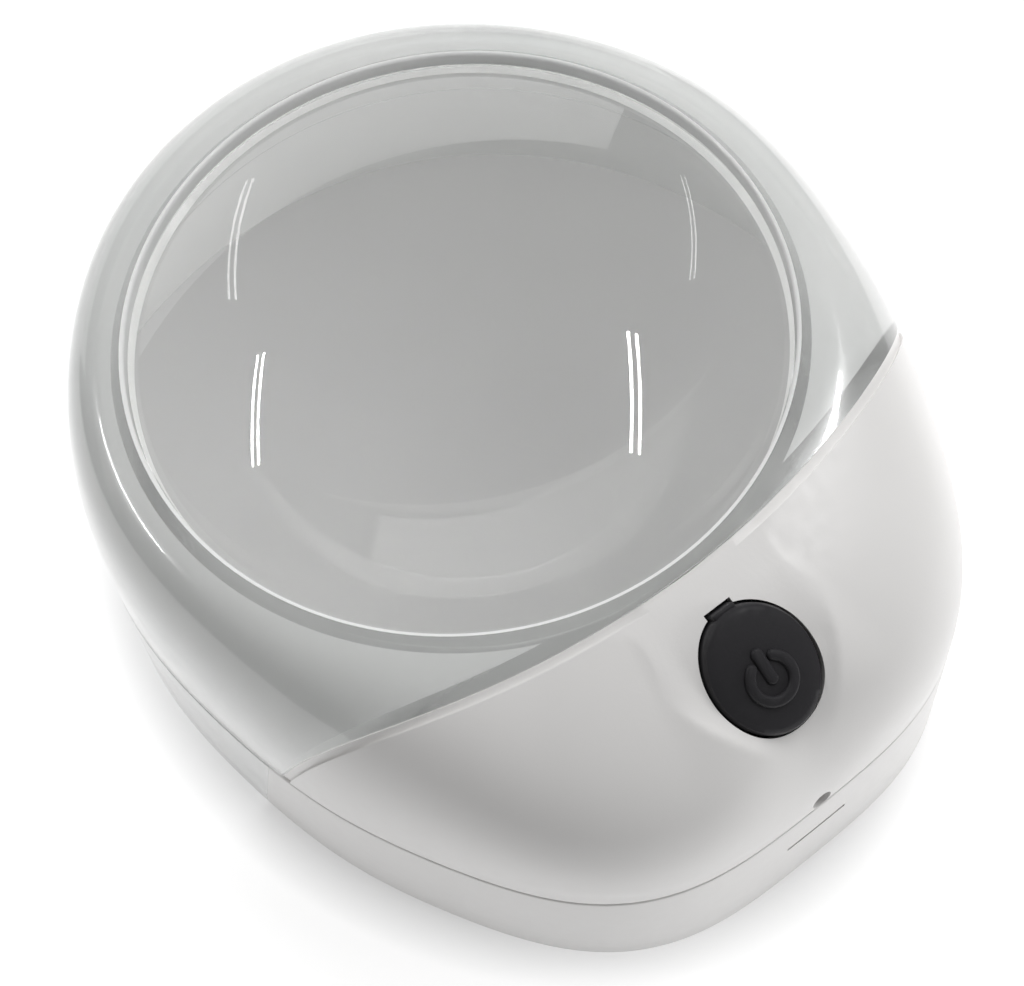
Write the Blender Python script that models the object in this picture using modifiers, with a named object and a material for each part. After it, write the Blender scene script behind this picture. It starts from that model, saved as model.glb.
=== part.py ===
"""Low vision magnifier: clear lens head, white battery tail, rubber switch button.

World frame: origin under the middle of the whole object, tail towards -Y, rest face at z = 0.
Every piece hangs on the "lens_axis" empty, and the dimensions below are measured from it.
They are in millimetres and are turned into metres when a shape is made.
"""
import math

import bmesh
import bpy
from mathutils import Matrix, Vector

MM = 0.001
UP = Vector((0, 0, 1))
AXIS_X = Vector((1, 0, 0))

# ---- outer body --------------------------------------------------------------------------
SIDES = 80                      # points around the plan outline
SHOULDER_STEPS = 11             # rows between the seam and the rim
PLAN_CENTRE_Y = -14.6           # polar centre of the plan outline
PLAN_WAVES = (49.7, 6.55, 4.9, 0.05, -0.35, 0.5, -0.2, 0.3, -0.2)
SHOULDER_WAVES = (2.85, 0.6, -0.15)
CREASE_START = 18.0             # degrees from the tail's middle over which the crease comes in
CREASE_REACH = 70.0
CREASE_FADE = 36.0
CREASE_ACROSS = 0.48            # share taken off the shoulder's inward power at the crease
CREASE_UPRIGHT = 0.8            # share added to its upward power
SEAM_Z = 18.6
RIM_Z = 40.5
GAP = 0.15                      # half of the gap between two touching pieces
FOOT_CHAMFER = 0.8
CLEAR_WALL = 2.2
WHITE_WALL = 2.0
FLOOR = 2.0
FACE_WALL = 1.8                 # clear wall that faces the tail

# ---- split between clear head and white tail ---------------------------------------------
SPLIT_CURVE = 200.0             # the split line is y = y0 + x * x / SPLIT_CURVE
SPLIT_HALF_X = 60
SPLIT_FAR = 95.0                # reach of the cutter away from the split
SPLIT_HALF_LONG = 70
UPPER_SPLIT = (-38.2, 39.0, 18.3)    # y0, its height, lean in degrees
LOWER_SPLIT = (-29.5, 18.0, 11.3)

# ---- lens and its tube -------------------------------------------------------------------
LENS_R = 36.5
LENS_EDGE_LOW = 35.4
LENS_EDGE_HIGH = 38.9
LENS_TOP_CURVE = 75.0
LENS_BOTTOM_CURVE = 250.0
POCKET_R = 36.65
SEAT_R = 35.2
SEAT_LOW = 33.5
SEAT_TOP = 34.95
TUBE_IN = 36.3
TUBE_OUT = 38.3
TAIL_CLEAR_R = 38.6
BORE_TOP = 45.0

# ---- button, switch and board, stacked along one leaning axis ------------------------------
BUTTON_STEP = 0.62              # place of the button on the tail's centre line, seam 0 to rim 1
BUTTON_LONG = 7.1
BUTTON_WIDE = 6.1
BUTTON_GAP = 0.3
BUTTON_EDGE = 0.45
BUTTON_CROWN = 1.1
FLANGE_TOP = -3.6
FLANGE_LOW = -4.3
FLANGE_REACH = 1.0
RECESS_DEPTH = 0.9
RECESS_SPAN = 0.5               # in steps, where the depth would run out
RECESS_FIRST = 0.25
RECESS_LAST = 0.98
RECESS_ROWS = 10
RECESS_HALF_X = 12.3
RECESS_TOP_Y = -37.5
RECESS_END_Y = -59.4
RECESS_BLUNT = 1.9              # powers of the recess's shield outline
RECESS_ROUND = 0.6
KEY_HALF_X = 1.4                # key on the button's lens side
KEY_REACH = 0.35
KEY_TOP = 0.2
KEY_SINK = 0.3                  # how far the key runs down into the button's flange
PLUNGER_R = 1.7
PLUNGER_TOP = -4.6
PLUNGER_LOW = -6.8
SWITCH_TOP = -6.0
SWITCH_LOW = -9.4
SWITCH_SIZE = 6.0
BOARD_TOP = -9.7
BOARD_THICK = 1.2
BOARD_HALF_X = 13.0
BOARD_LOW_REACH = 5.0
BOARD_HIGH_REACH = 4.0
POST_R = 2.0
SYMBOL_Y = -1.1                 # middle of the power sign, from the middle of the button
SYMBOL_R = 2.4
SYMBOL_LINE = 1.25
SYMBOL_RISE = 0.3
SYMBOL_OPENING = 35             # half of the ring's opening, degrees
BAR_HALF = 0.7
BAR_TOP = 3.6
BAR_LOW = -0.7

# ---- battery bay ---------------------------------------------------------------------------
CELL_R = 5.2
CELL_Y = -46.2
CELL_BODY = 43.5
NUB_R = 1.9
NUB_LENGTH = 1.0
CELL_LOW_Z = 7.75
CELL_HIGH_Z = 18.45
CRADLE_HALF_X = 25.8
CRADLE_WALL = 0.8
CRADLE_FRONT_Y = -39.9
CRADLE_BACK_Y = -52.5
CRADLE_LOW = 2.4
CRADLE_HIGH = 22.0
PLATE_X = 24.4
PLATE_THICK = 0.4
SPRING_R = 2.3
SPRING_WIRE = 0.3
SPRING_TURNS = 3

# ---- battery door ----------------------------------------------------------------------------
DOOR_LOW = 0.3
DOOR_HIGH = 1.9
DOOR_FRONT_Y = -40.7
DOOR_BACK_Y = -52.1
DOOR_HALF_X = 24.6
TONGUE_HALF_X = 4.0
TONGUE_BACK_Y = -58.6
TONGUE_THICK = 1.2
TONGUE_INSET = 0.3
TONGUE_HIGH = 12.0
DOOR_GAP = 0.3
GROOVE_COUNT = 4                # finger grooves across the door
GROOVE_Y = -44.2
GROOVE_STEP = 1.6
GROOVE_HALF_X = 6.0
GROOVE_HALF_Y = 0.35
GROOVE_DEEP = 0.4

# ---- end wall --------------------------------------------------------------------------------
END_HOLE_Z = 20.1
END_HOLE_R = 1.25
SLOT_Z = 11.3
SLOT_HALF_X = 4.15
SLOT_HIGH = 0.7

# ---- screws ----------------------------------------------------------------------------------
SCREW_SPOTS = ((30.5, -40.5, "front_right"), (-30.5, -40.5, "front_left"),
               (14.0, -55.2, "rear_right"), (-14.0, -55.2, "rear_left"))
COLUMN_R = 2.4
SCREW_R = 0.8
SCREW_HEAD_R = 1.55
SCREW_HEAD_LOW = 1.0
SCREW_HEAD_HIGH = 2.2
SCREW_TIP = 24.6
HOLE_EASE = 0.12
CLEARANCE_EASE = 0.2
BATTERY_CABLE_R = 0.4
LED_CABLE_R = 0.35
BOARD_SCREW_X = 10.5

# ---- light board -----------------------------------------------------------------------------
LED_X = 9.0
LED_Z = 29.0
LED_BOARD_BACK = -40.6
LED_BOARD_FRONT = -39.8

CIRCLE = 56
COLOURS = {
    "clear_acrylic": (0.86, 0.89, 0.88, 0.35),
    "lens_acrylic": (0.92, 0.95, 0.95, 0.3),
    "white_plastic": (0.82, 0.81, 0.8, 1),
    "black_rubber": (0.03, 0.03, 0.032, 1),
    "board_green": (0.04, 0.2, 0.09, 1),
    "steel": (0.62, 0.62, 0.64, 1),
    "black_plastic": (0.05, 0.05, 0.055, 1),
    "led_white": (0.95, 0.9, 0.7, 1),
    "cell_jacket": (0.1, 0.12, 0.35, 1),
    "red_cable": (0.6, 0.04, 0.03, 1),
    "black_cable": (0.03, 0.03, 0.03, 1),
}


# ---- scene and naming helpers ------------------------------------------------------------------
def clear_scene():
    for old in list(bpy.data.objects):
        bpy.data.objects.remove(old, do_unlink=True)


def make_collection(name):
    group = bpy.data.collections.new(name)
    bpy.context.scene.collection.children.link(group)
    return group


def make_material(name, colour):
    material = bpy.data.materials.new(name)
    material.use_nodes = True
    shader = material.node_tree.nodes["Principled BSDF"]
    shader.inputs["Base Color"].default_value = colour[:3] + (1,)
    shader.inputs["Roughness"].default_value = 0.45
    shader.inputs["Alpha"].default_value = colour[3]
    material.diffuse_color = colour
    return material


def make_lens_axis(group):
    """Empty that every piece is parented to, placed so that the whole is centred on the origin."""
    middle_y = (plan_point(0).y + plan_point(math.pi).y) / 2
    axis = bpy.data.objects.new("lens_axis", None)
    axis.location = (0, -middle_y * MM, 0)
    group.objects.link(axis)


def place(name, data, group, material=None, matrix=None):
    """Put mesh or curve data under the lens axis with its own name."""
    obj = bpy.data.objects.new(name, data)
    group.objects.link(obj)
    obj.parent = bpy.data.objects["lens_axis"]
    if matrix is not None:
        obj.matrix_basis = matrix
    if material is not None:
        data.materials.append(material)
    return obj


def as_cutter(obj):
    obj.hide_render = True
    obj.display_type = "WIRE"
    return obj


def boolean(obj, operation, other, solver="EXACT"):
    step = obj.modifiers.new(operation.lower() + "_" + other.name, "BOOLEAN")
    step.operation = operation
    step.solver = solver
    step.object = other


def cut(obj, *others):
    for other in others:
        boolean(obj, "DIFFERENCE", other)


def join(obj, *others):
    for other in others:
        boolean(obj, "UNION", other)


def smooth(mesh, degrees=30):
    mesh.shade_smooth()
    mesh.set_sharp_from_angle(angle=math.radians(degrees))


# ---- shapes --------------------------------------------------------------------------------------
def loft(rings):
    """Closed mesh through equal-count rings of (x, y, z), capped at both ends."""
    count = len(rings[0])
    verts = [Vector(point) * MM for ring in rings for point in ring]
    faces = [tuple(range(count))]
    for row in range(len(rings) - 1):
        low = row * count
        for i in range(count):
            j = (i + 1) % count
            faces.append((low + i, low + count + i, low + count + j, low + j))
    top = (len(rings) - 1) * count
    faces.append(tuple(top + i for i in reversed(range(count))))
    mesh = bpy.data.meshes.new("loft")
    mesh.from_pydata(verts, [], faces)
    fix_normals(mesh)
    return mesh


def mesh_from(bm, name):
    mesh = bpy.data.meshes.new(name)
    bm.to_mesh(mesh)
    bm.free()
    return mesh


def fix_normals(mesh):
    bm = bmesh.new()
    bm.from_mesh(mesh)
    bmesh.ops.remove_doubles(bm, verts=bm.verts, dist=0.00001)
    bmesh.ops.recalc_face_normals(bm, faces=bm.faces)
    bm.to_mesh(mesh)
    bm.free()


def turned(name, profile, group, material=None, matrix=None, steps=CIRCLE):
    """Round piece from a profile of (radius, height), listed from its top down its outer side."""
    mesh = bpy.data.meshes.new(name)
    points = [Vector((r, 0, z)) * MM for r, z in profile]
    mesh.from_pydata(points, [(i, i + 1) for i in range(len(points) - 1)], [])
    obj = place(name, mesh, group, material, matrix)
    screw = obj.modifiers.new("turn", "SCREW")
    screw.steps = steps
    screw.render_steps = steps
    screw.use_merge_vertices = True
    screw.merge_threshold = 0.00001
    return obj


def frozen(obj):
    """Evaluated mesh of an object, welded and facing out."""
    depsgraph = bpy.context.evaluated_depsgraph_get()
    mesh = bpy.data.meshes.new_from_object(obj.evaluated_get(depsgraph))
    fix_normals(mesh)
    return mesh


def solid_from(obj, stretch=None):
    """Replace an object by its evaluated mesh, optionally stretched about its own origin."""
    mesh = frozen(obj)
    if stretch is not None:
        mesh.transform(Matrix.Diagonal(Vector(stretch + (1,))))
    name = obj.name
    group = obj.users_collection[0]
    matrix = obj.matrix_basis.copy()
    bpy.data.objects.remove(obj, do_unlink=True)
    return place(name, mesh, group, None, matrix)


def cylinder(name, radius, low, high, group, material=None, matrix=None, steps=32):
    """Upright round bar from low to high along its local Z."""
    bm = bmesh.new()
    middle = Matrix.Translation(UP * (low + high) / 2 * MM)
    bmesh.ops.create_cone(bm, cap_ends=True, segments=steps, radius1=radius * MM, radius2=radius * MM,
                          depth=(high - low) * MM, matrix=middle)
    return place(name, mesh_from(bm, name), group, material, matrix)


def prism(name, outline, low, high, group, material=None, matrix=None):
    """Flat outline of (x, y) raised from low to high along its local Z."""
    curve = bpy.data.curves.new(name, "CURVE")
    curve.dimensions = "2D"
    curve.fill_mode = "BOTH"
    curve.extrude = (high - low) / 2 * MM
    spline = curve.splines.new("POLY")
    spline.points.add(len(outline) - 1)
    for point, (x, y) in zip(spline.points, outline):
        point.co = (x * MM, y * MM, 0, 1)
    spline.use_cyclic_u = True
    maker = place(name + "_outline", curve, group)
    mesh = frozen(maker)
    bpy.data.objects.remove(maker, do_unlink=True)
    mesh.transform(Matrix.Translation(UP * (low + high) / 2 * MM))
    return place(name, mesh, group, material, matrix)


def box(name, low, high, group, material=None, matrix=None):
    """Block between two corners."""
    bm = bmesh.new()
    size = (Vector(high) - Vector(low)) * MM
    middle = (Vector(high) + Vector(low)) / 2 * MM
    bmesh.ops.create_cube(bm, size=1, matrix=Matrix.Translation(middle) @ Matrix.Diagonal(size.to_4d()))
    return place(name, mesh_from(bm, name), group, material, matrix)


def wire(name, points, radius, group, material=None):
    """Round cable or spring wire through a list of (x, y, z)."""
    curve = bpy.data.curves.new(name, "CURVE")
    curve.dimensions = "3D"
    curve.bevel_depth = radius * MM
    curve.bevel_resolution = 2
    curve.use_fill_caps = True
    spline = curve.splines.new("POLY")
    spline.points.add(len(points) - 1)
    for point, spot in zip(spline.points, points):
        point.co = (Vector(spot) * MM).to_4d()
    return place(name, curve, group, material)


def arc_between(start, middle, end, count=10):
    """Points on the parabola-like bend from start past middle to end."""
    points = []
    for i in range(count + 1):
        t = i / count
        a = Vector(start).lerp(Vector(middle), t)
        b = Vector(middle).lerp(Vector(end), t)
        points.append(tuple(a.lerp(b, t)))
    return points


# ---- body outline ----------------------------------------------------------------------------------
def plan_point(angle):
    """Plan outline at a polar angle measured from +Y towards +X."""
    radius = sum(size * math.cos(k * angle) for k, size in enumerate(PLAN_WAVES))
    return Vector((radius * math.sin(angle), PLAN_CENTRE_Y + radius * math.cos(angle)))


def plan_ring(inset):
    """Outline points moved inwards by inset along their normals."""
    ring = []
    for i in range(SIDES):
        angle = 2 * math.pi * i / SIDES
        along = plan_point(angle + 0.01) - plan_point(angle - 0.01)
        outward = Vector((-along.y, along.x)).normalized()
        ring.append(plan_point(angle) - outward * inset)
    return ring


def shoulder_power(angle):
    return sum(size * math.cos(k * angle) for k, size in enumerate(SHOULDER_WAVES))


def eased(value):
    """Smooth step from 0 to 1."""
    value = min(max(value, 0.0), 1.0)
    return value * value * (3 - 2 * value)


def crease_share(angle):
    """How far the shoulder has a steep wall and a crease: on both sides of the tail's middle."""
    away = abs(math.degrees(angle) - 180)
    return eased(away / CREASE_START) * eased((CREASE_REACH - away) / CREASE_FADE)


def shoulder_share(angle, step):
    """Inward and upward shares of the shoulder curve at one step from the seam to the rim."""
    turn = math.pi / 2 * step
    crease = crease_share(angle)
    across = shoulder_power(angle) * (1 - CREASE_ACROSS * crease)
    upright = shoulder_power(angle) * (1 + CREASE_UPRIGHT * crease)
    inward = 1 - max(math.cos(turn), 0.0) ** (2 / across)
    return inward, max(math.sin(turn), 0.0) ** (2 / upright)


def upper_blank(inset, low, high, rim_r):
    """Upper half of the body as a closed loft from the plan outline to the round rim."""
    plan = plan_ring(inset)
    rings = [[(p.x, p.y, low) for p in plan]]
    for row in range(SHOULDER_STEPS + 1):
        ring = []
        for i, p in enumerate(plan):
            inward, upward = shoulder_share(2 * math.pi * i / SIDES, row / SHOULDER_STEPS)
            q = p.lerp(p.normalized() * rim_r, inward)
            ring.append((q.x, q.y, SEAM_Z + GAP + (high - SEAM_Z - GAP) * upward))
        rings.append(ring)
    if low >= SEAM_Z + GAP:
        rings.pop(0)
    return loft(rings)


def lower_blank(inset, low, high, chamfer):
    plan = plan_ring(inset)
    rings = []
    if chamfer:
        rings.append([(p.x, p.y, low) for p in plan_ring(inset + chamfer)])
    rings.append([(p.x, p.y, low + chamfer) for p in plan])
    rings.append([(p.x, p.y, high) for p in plan])
    return loft(rings)


def tail_point(step):
    """Point (y, z) on the centre line of the tail's top, step 0 at the seam and 1 at the rim."""
    start = plan_point(math.pi)
    inward, upward = shoulder_share(math.pi, step)
    return Vector((start.y + (-POCKET_R - start.y) * inward, SEAM_Z + (RIM_Z - SEAM_Z) * upward))


def tail_frame(step):
    """Point and outward normal of the tail's centre line at one step."""
    along = tail_point(step + 0.01) - tail_point(step - 0.01)
    return tail_point(step), Vector((-along.y, along.x)).normalized()


def recess_depth(step):
    """Depth of the recess below the cover's top: deepest at the button, less towards its ends."""
    return RECESS_DEPTH * (1 - ((step - BUTTON_STEP) / RECESS_SPAN) ** 2)


def recess_line():
    """Centre line (y, z) of the recess floor."""
    points = []
    for i in range(RECESS_ROWS + 1):
        step = RECESS_FIRST + (RECESS_LAST - RECESS_FIRST) * i / RECESS_ROWS
        spot, out = tail_frame(step)
        points.append(spot - out * recess_depth(step))
    return points


def recess_outline():
    """Shield shape in plan: widest at the lens, closing towards the end wall."""
    right = []
    count = 14
    for i in range(count + 1):
        share = math.sin(math.pi / 2 * i / count)
        half = RECESS_HALF_X * (1 - share ** RECESS_BLUNT) ** RECESS_ROUND
        right.append((half, RECESS_TOP_Y + (RECESS_END_Y - RECESS_TOP_Y) * share))
    left = [(-x, y) for x, y in reversed(right[:-1])]
    return right + left


def split_side(name, split, side, shift, group):
    """Everything on one side of the leaning split surface: side +1 is the head, -1 the tail."""
    y0, z0, lean = split
    outline = [(x, x * x / SPLIT_CURVE) for x in range(-SPLIT_HALF_X, SPLIT_HALF_X + 1, 5)]
    outline += [(SPLIT_HALF_X, side * SPLIT_FAR), (-SPLIT_HALF_X, side * SPLIT_FAR)]
    matrix = Matrix.Translation(Vector((0, y0 + shift, z0)) * MM)
    matrix @= Matrix.Rotation(math.radians(lean), 4, AXIS_X)
    return as_cutter(prism(name, outline, -SPLIT_HALF_LONG, SPLIT_HALF_LONG, group, None, matrix))


def button_matrix():
    """Local Z along the button's push axis, origin on the recess floor."""
    centre, normal = tail_frame(BUTTON_STEP)
    floor = centre - normal * RECESS_DEPTH
    lean = Matrix.Rotation(math.atan2(-normal.x, normal.y), 4, AXIS_X)
    return Matrix.Translation(Vector((0, floor.x, floor.y)) * MM) @ lean


# ---- pieces ------------------------------------------------------------------------------------------
def make_cutters(group):
    """Shapes that several pieces are cut with."""
    bore = turned("bore", [(0, BORE_TOP), (POCKET_R, BORE_TOP), (POCKET_R, SEAT_TOP), (SEAT_R, SEAT_TOP),
                           (SEAT_R, SEAT_LOW), (TUBE_IN, SEAT_LOW), (TUBE_IN, -2), (0, -2)],
                  group, steps=CIRCLE)
    tube = cylinder("tube_zone", TUBE_OUT, -5, 60, group, steps=CIRCLE)
    around = cylinder("tube_clearance", TAIL_CLEAR_R, -6, 61, group, steps=CIRCLE)
    middle = place("middle_blank", upper_blank(WHITE_WALL / 2, SEAM_Z - 3, RIM_Z - 1, TUBE_OUT), group)
    for obj in (bore, tube, around, middle):
        as_cutter(obj)
    return {"bore": bore, "tube": tube, "around": around, "middle": middle}


def make_upper_ring(parts, cutters, shared, material):
    blank = upper_blank(0, SEAM_Z + GAP, RIM_Z, POCKET_R + 0.6)
    smooth(blank)
    ring = place("upper_ring", blank, parts, material)
    tail = split_side("upper_tail_side", UPPER_SPLIT, -1, GAP, cutters)
    cut(tail, shared["tube"])
    hollow = place("upper_hollow", upper_blank(CLEAR_WALL, SEAM_Z - 2, RIM_Z - CLEAR_WALL, TUBE_OUT - 1),
                   cutters)
    face = split_side("upper_face_wall", UPPER_SPLIT, -1, FACE_WALL, cutters)
    cut(as_cutter(hollow), shared["tube"], face)
    cut(ring, tail, hollow, shared["bore"])


def make_lower_ring(parts, cutters, shared, material):
    blank = lower_blank(0, 0, SEAM_Z - GAP, FOOT_CHAMFER)
    smooth(blank)
    ring = place("lower_ring", blank, parts, material)
    tail = split_side("lower_tail_side", LOWER_SPLIT, -1, GAP, cutters)
    cut(tail, shared["tube"])
    hollow = place("lower_hollow", lower_blank(CLEAR_WALL, FLOOR, SEAM_Z + 2, 0), cutters)
    face = split_side("lower_face_wall", LOWER_SPLIT, -1, FACE_WALL, cutters)
    cut(as_cutter(hollow), shared["tube"], face)
    cut(ring, tail, hollow, shared["bore"])


def make_lens(parts, material):
    def cap(curve, edge, side):
        sag = curve - math.sqrt(curve ** 2 - LENS_R ** 2)
        points = []
        count = 9
        for i in range(count + 1):
            r = LENS_R * i / count
            drop = curve - math.sqrt(curve ** 2 - r ** 2)
            points.append((r, edge + side * (sag - drop)))
        return points

    top = cap(LENS_TOP_CURVE, LENS_EDGE_HIGH, 1)
    bottom = cap(LENS_BOTTOM_CURVE, LENS_EDGE_LOW, -1)
    profile = top + list(reversed(bottom))
    lens = turned("lens", profile, parts, material, steps=CIRCLE)
    smooth(lens.data)


def screw_columns(name, low, high, group, keep_inside=None):
    """The four screw columns between two heights, each its own cutter-style shape."""
    columns = []
    for x, y, label in SCREW_SPOTS:
        spot = Matrix.Translation(Vector((x, y, 0)) * MM)
        column = cylinder(name + "_" + label, COLUMN_R, low, high, group, None, spot, 20)
        if keep_inside is not None:
            boolean(column, "INTERSECT", keep_inside)
        columns.append(as_cutter(column))
    return columns


def screw_holes(name, radius, low, high, group):
    holes = []
    for x, y, label in SCREW_SPOTS:
        spot = Matrix.Translation(Vector((x, y, 0)) * MM)
        holes.append(as_cutter(cylinder(name + "_" + label, radius, low, high, group, None, spot, 20)))
    return holes


def make_top_cover(parts, cutters, shared, material):
    blank = upper_blank(0, SEAM_Z + GAP, RIM_Z, POCKET_R + 0.6)
    smooth(blank)
    cover = place("top_cover", blank, parts, material)
    inside = place("cover_inside", upper_blank(WHITE_WALL, SEAM_Z - 2, RIM_Z - WHITE_WALL, TUBE_OUT - 1),
                   cutters)
    head = split_side("upper_head_side", UPPER_SPLIT, 1, -GAP, cutters)
    cut(cover, as_cutter(inside), head, shared["around"])
    join(cover, *screw_columns("cover_column", SEAM_Z + 0.3, RIM_Z + 5, cutters, shared["middle"]))
    cut(cover, *screw_holes("cover_pilot", SCREW_R + HOLE_EASE, SEAM_Z - 1, SCREW_TIP + 1, cutters))
    for side in (-1, 1):
        spot = button_matrix() @ Matrix.Translation(Vector((side * BOARD_SCREW_X, 0, 0)) * MM)
        post = cylinder("board_post_%d" % (side + 1), POST_R, BOARD_TOP + 0.15, 6, cutters, None, spot, 20)
        boolean(as_cutter(post), "INTERSECT", shared["middle"])
        join(cover, post)
        pilot = cylinder("board_pilot_%d" % (side + 1), SCREW_R + HOLE_EASE, BOARD_TOP - 1,
                         BOARD_TOP + 3.4, cutters, None, spot, 16)
        cut(cover, as_cutter(pilot))
    cut(cover, recess_cutter(cutters), button_hole(cutters), button_key("key_notch", BUTTON_GAP, 6, cutters))
    hole_spot = Matrix.Translation(Vector((0, -70, END_HOLE_Z)) * MM)
    hole_spot @= Matrix.Rotation(math.radians(-90), 4, AXIS_X)
    end_hole = cylinder("end_hole", END_HOLE_R, 0, 13, cutters, None, hole_spot, 24)
    cut(cover, as_cutter(end_hole))


def recess_cutter(group):
    """Shallow shield-shaped scoop around the button, straight across."""
    outline = [(point.x, point.y) for point in recess_line()]
    above = RIM_Z + 20
    outline += [(outline[-1][0], above), (outline[0][0], above)]
    turn = Matrix(((0, 0, 1, 0), (1, 0, 0, 0), (0, 1, 0, 0), (0, 0, 0, 1)))
    scoop = prism("recess", outline, -RECESS_HALF_X - 2, RECESS_HALF_X + 2, group, None, turn)
    shield = prism("recess_shield", recess_outline(), SEAM_Z, above + 2, group)
    boolean(scoop, "INTERSECT", as_cutter(shield))
    return as_cutter(scoop)


def button_hole(group):
    hole = cylinder("button_hole", 1.0, -6, 6, group, None, button_matrix(), 40)
    wide = BUTTON_WIDE + BUTTON_GAP
    long = BUTTON_LONG + BUTTON_GAP
    return as_cutter(solid_from(hole, (wide, long, 1.0)))


def button_key(name, grow, top, group):
    """Key that stops the button turning, or with a gap grown round it the notch for it."""
    half = KEY_HALF_X + grow
    low = (-half, 0, FLANGE_TOP - KEY_SINK)
    high = (half, BUTTON_LONG + KEY_REACH + grow, top)
    return as_cutter(box(name, low, high, group, None, button_matrix()))


def make_button(parts, cutters, material):
    edge = BUTTON_LONG
    flange = BUTTON_LONG + FLANGE_REACH
    crown = [(0, BUTTON_CROWN), (edge * 0.4, BUTTON_CROWN - 0.08), (edge * 0.75, BUTTON_CROWN - 0.3),
             (edge - 0.5, BUTTON_EDGE), (edge, BUTTON_EDGE - 0.5)]
    foot = [(edge, FLANGE_TOP), (flange, FLANGE_TOP), (flange, FLANGE_LOW), (0, FLANGE_LOW)]
    button = turned("power_button", crown + foot, parts, None, button_matrix(), 48)
    button = solid_from(button, (BUTTON_WIDE / BUTTON_LONG, 1.0, 1.0))
    smooth(button.data)
    button.data.materials.append(material)
    join(button, button_key("button_key", 0, KEY_TOP, cutters), *symbol_pieces(cutters))


def arc_points(centre, radius, start, stop, count):
    """Points on an arc between two angles in degrees."""
    points = []
    for i in range(count + 1):
        angle = math.radians(start + (stop - start) * i / count)
        points.append((centre[0] + radius * math.cos(angle), centre[1] + radius * math.sin(angle)))
    return points


def symbol_pieces(group):
    """Raised power sign with round stroke ends: an open ring and a bar, both sunk into the crown."""
    top = BUTTON_CROWN + SYMBOL_RISE
    low = BUTTON_CROWN - 0.6
    half = SYMBOL_LINE / 2
    first, last = 90 + SYMBOL_OPENING, 450 - SYMBOL_OPENING
    start, end = arc_points((0, 0), SYMBOL_R, first, last, 1)
    outline = arc_points((0, 0), SYMBOL_R + half, first, last, 24)
    outline += arc_points(end, half, last + 30, last + 150, 4)
    outline += arc_points((0, 0), SYMBOL_R - half, last, first, 24)
    outline += arc_points(start, half, first + 210, first + 330, 4)
    spot = button_matrix() @ Matrix.Translation(Vector((0, SYMBOL_Y, 0)) * MM)
    ring = prism("symbol_ring", outline, low, top, group, None, spot)
    bar_outline = arc_points((0, BAR_TOP - BAR_HALF), BAR_HALF, 0, 180, 8)
    bar_outline += arc_points((0, BAR_LOW + BAR_HALF), BAR_HALF, 180, 360, 8)
    bar = prism("symbol_bar", bar_outline, low, top, group, None, spot)
    return [as_cutter(ring), as_cutter(bar)]


def make_switch(parts, cutters, dark, metal):
    half = SWITCH_SIZE / 2
    body = box("switch_body", (-half, -half, SWITCH_LOW), (half, half, SWITCH_TOP), parts, dark,
               button_matrix())
    pocket = cylinder("plunger_pocket", PLUNGER_R + 0.1, PLUNGER_LOW - 1.0, SWITCH_TOP + 1, cutters,
                      None, button_matrix(), 24)
    cut(body, as_cutter(pocket))
    cylinder("switch_plunger", PLUNGER_R, PLUNGER_LOW, PLUNGER_TOP, parts, metal, button_matrix(), 24)


def make_main_board(parts, cutters, board_mat, dark, metal):
    low = BOARD_TOP - BOARD_THICK
    board = box("main_board", (-BOARD_HALF_X, -BOARD_LOW_REACH, low),
                (BOARD_HALF_X, BOARD_HIGH_REACH, BOARD_TOP), parts, board_mat, button_matrix())
    for side, label in ((-1, "left"), (1, "right")):
        spot = button_matrix() @ Matrix.Translation(Vector((side * BOARD_SCREW_X, 0, 0)) * MM)
        hole = cylinder("board_hole_" + label, SCREW_R + CLEARANCE_EASE, low - 1, BOARD_TOP + 1, cutters,
                        None, spot, 16)
        cut(board, as_cutter(hole))
        head = low - 0.1
        profile = [(0, BOARD_TOP + 2.6), (SCREW_R, BOARD_TOP + 2.6), (SCREW_R, head),
                   (SCREW_HEAD_R, head), (SCREW_HEAD_R, head - 0.9), (0, head - 0.9)]
        turned("board_screw_" + label, profile, parts, metal, spot, 20)
    rest = BOARD_TOP + 0.1
    box("driver_chip", (4.2, 0.2, rest), (7.2, 3.4, rest + 1.1), parts, dark, button_matrix())
    box("boost_inductor", (-7.6, -0.2, rest), (-4.0, 3.4, rest + 1.8), parts, dark, button_matrix())
    box("capacitor_left", (-6.6, -3.6, rest), (-4.8, -2.4, rest + 0.9), parts, metal, button_matrix())
    box("capacitor_right", (4.8, -3.6, rest), (6.6, -2.4, rest + 0.9), parts, metal, button_matrix())


def make_led_board(parts, board_mat, led_mat):
    box("led_board", (-14, LED_BOARD_BACK, LED_Z - 3.2), (14, LED_BOARD_FRONT, LED_Z + 2.6), parts, board_mat)
    for side, label in ((-1, "left"), (1, "right")):
        x = side * LED_X
        front = LED_BOARD_FRONT + 0.1
        low = (x - 1.75, front, LED_Z - 1.4)
        high = (x + 1.75, front + 0.8, LED_Z + 1.4)
        box("led_" + label, low, high, parts, led_mat)


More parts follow.
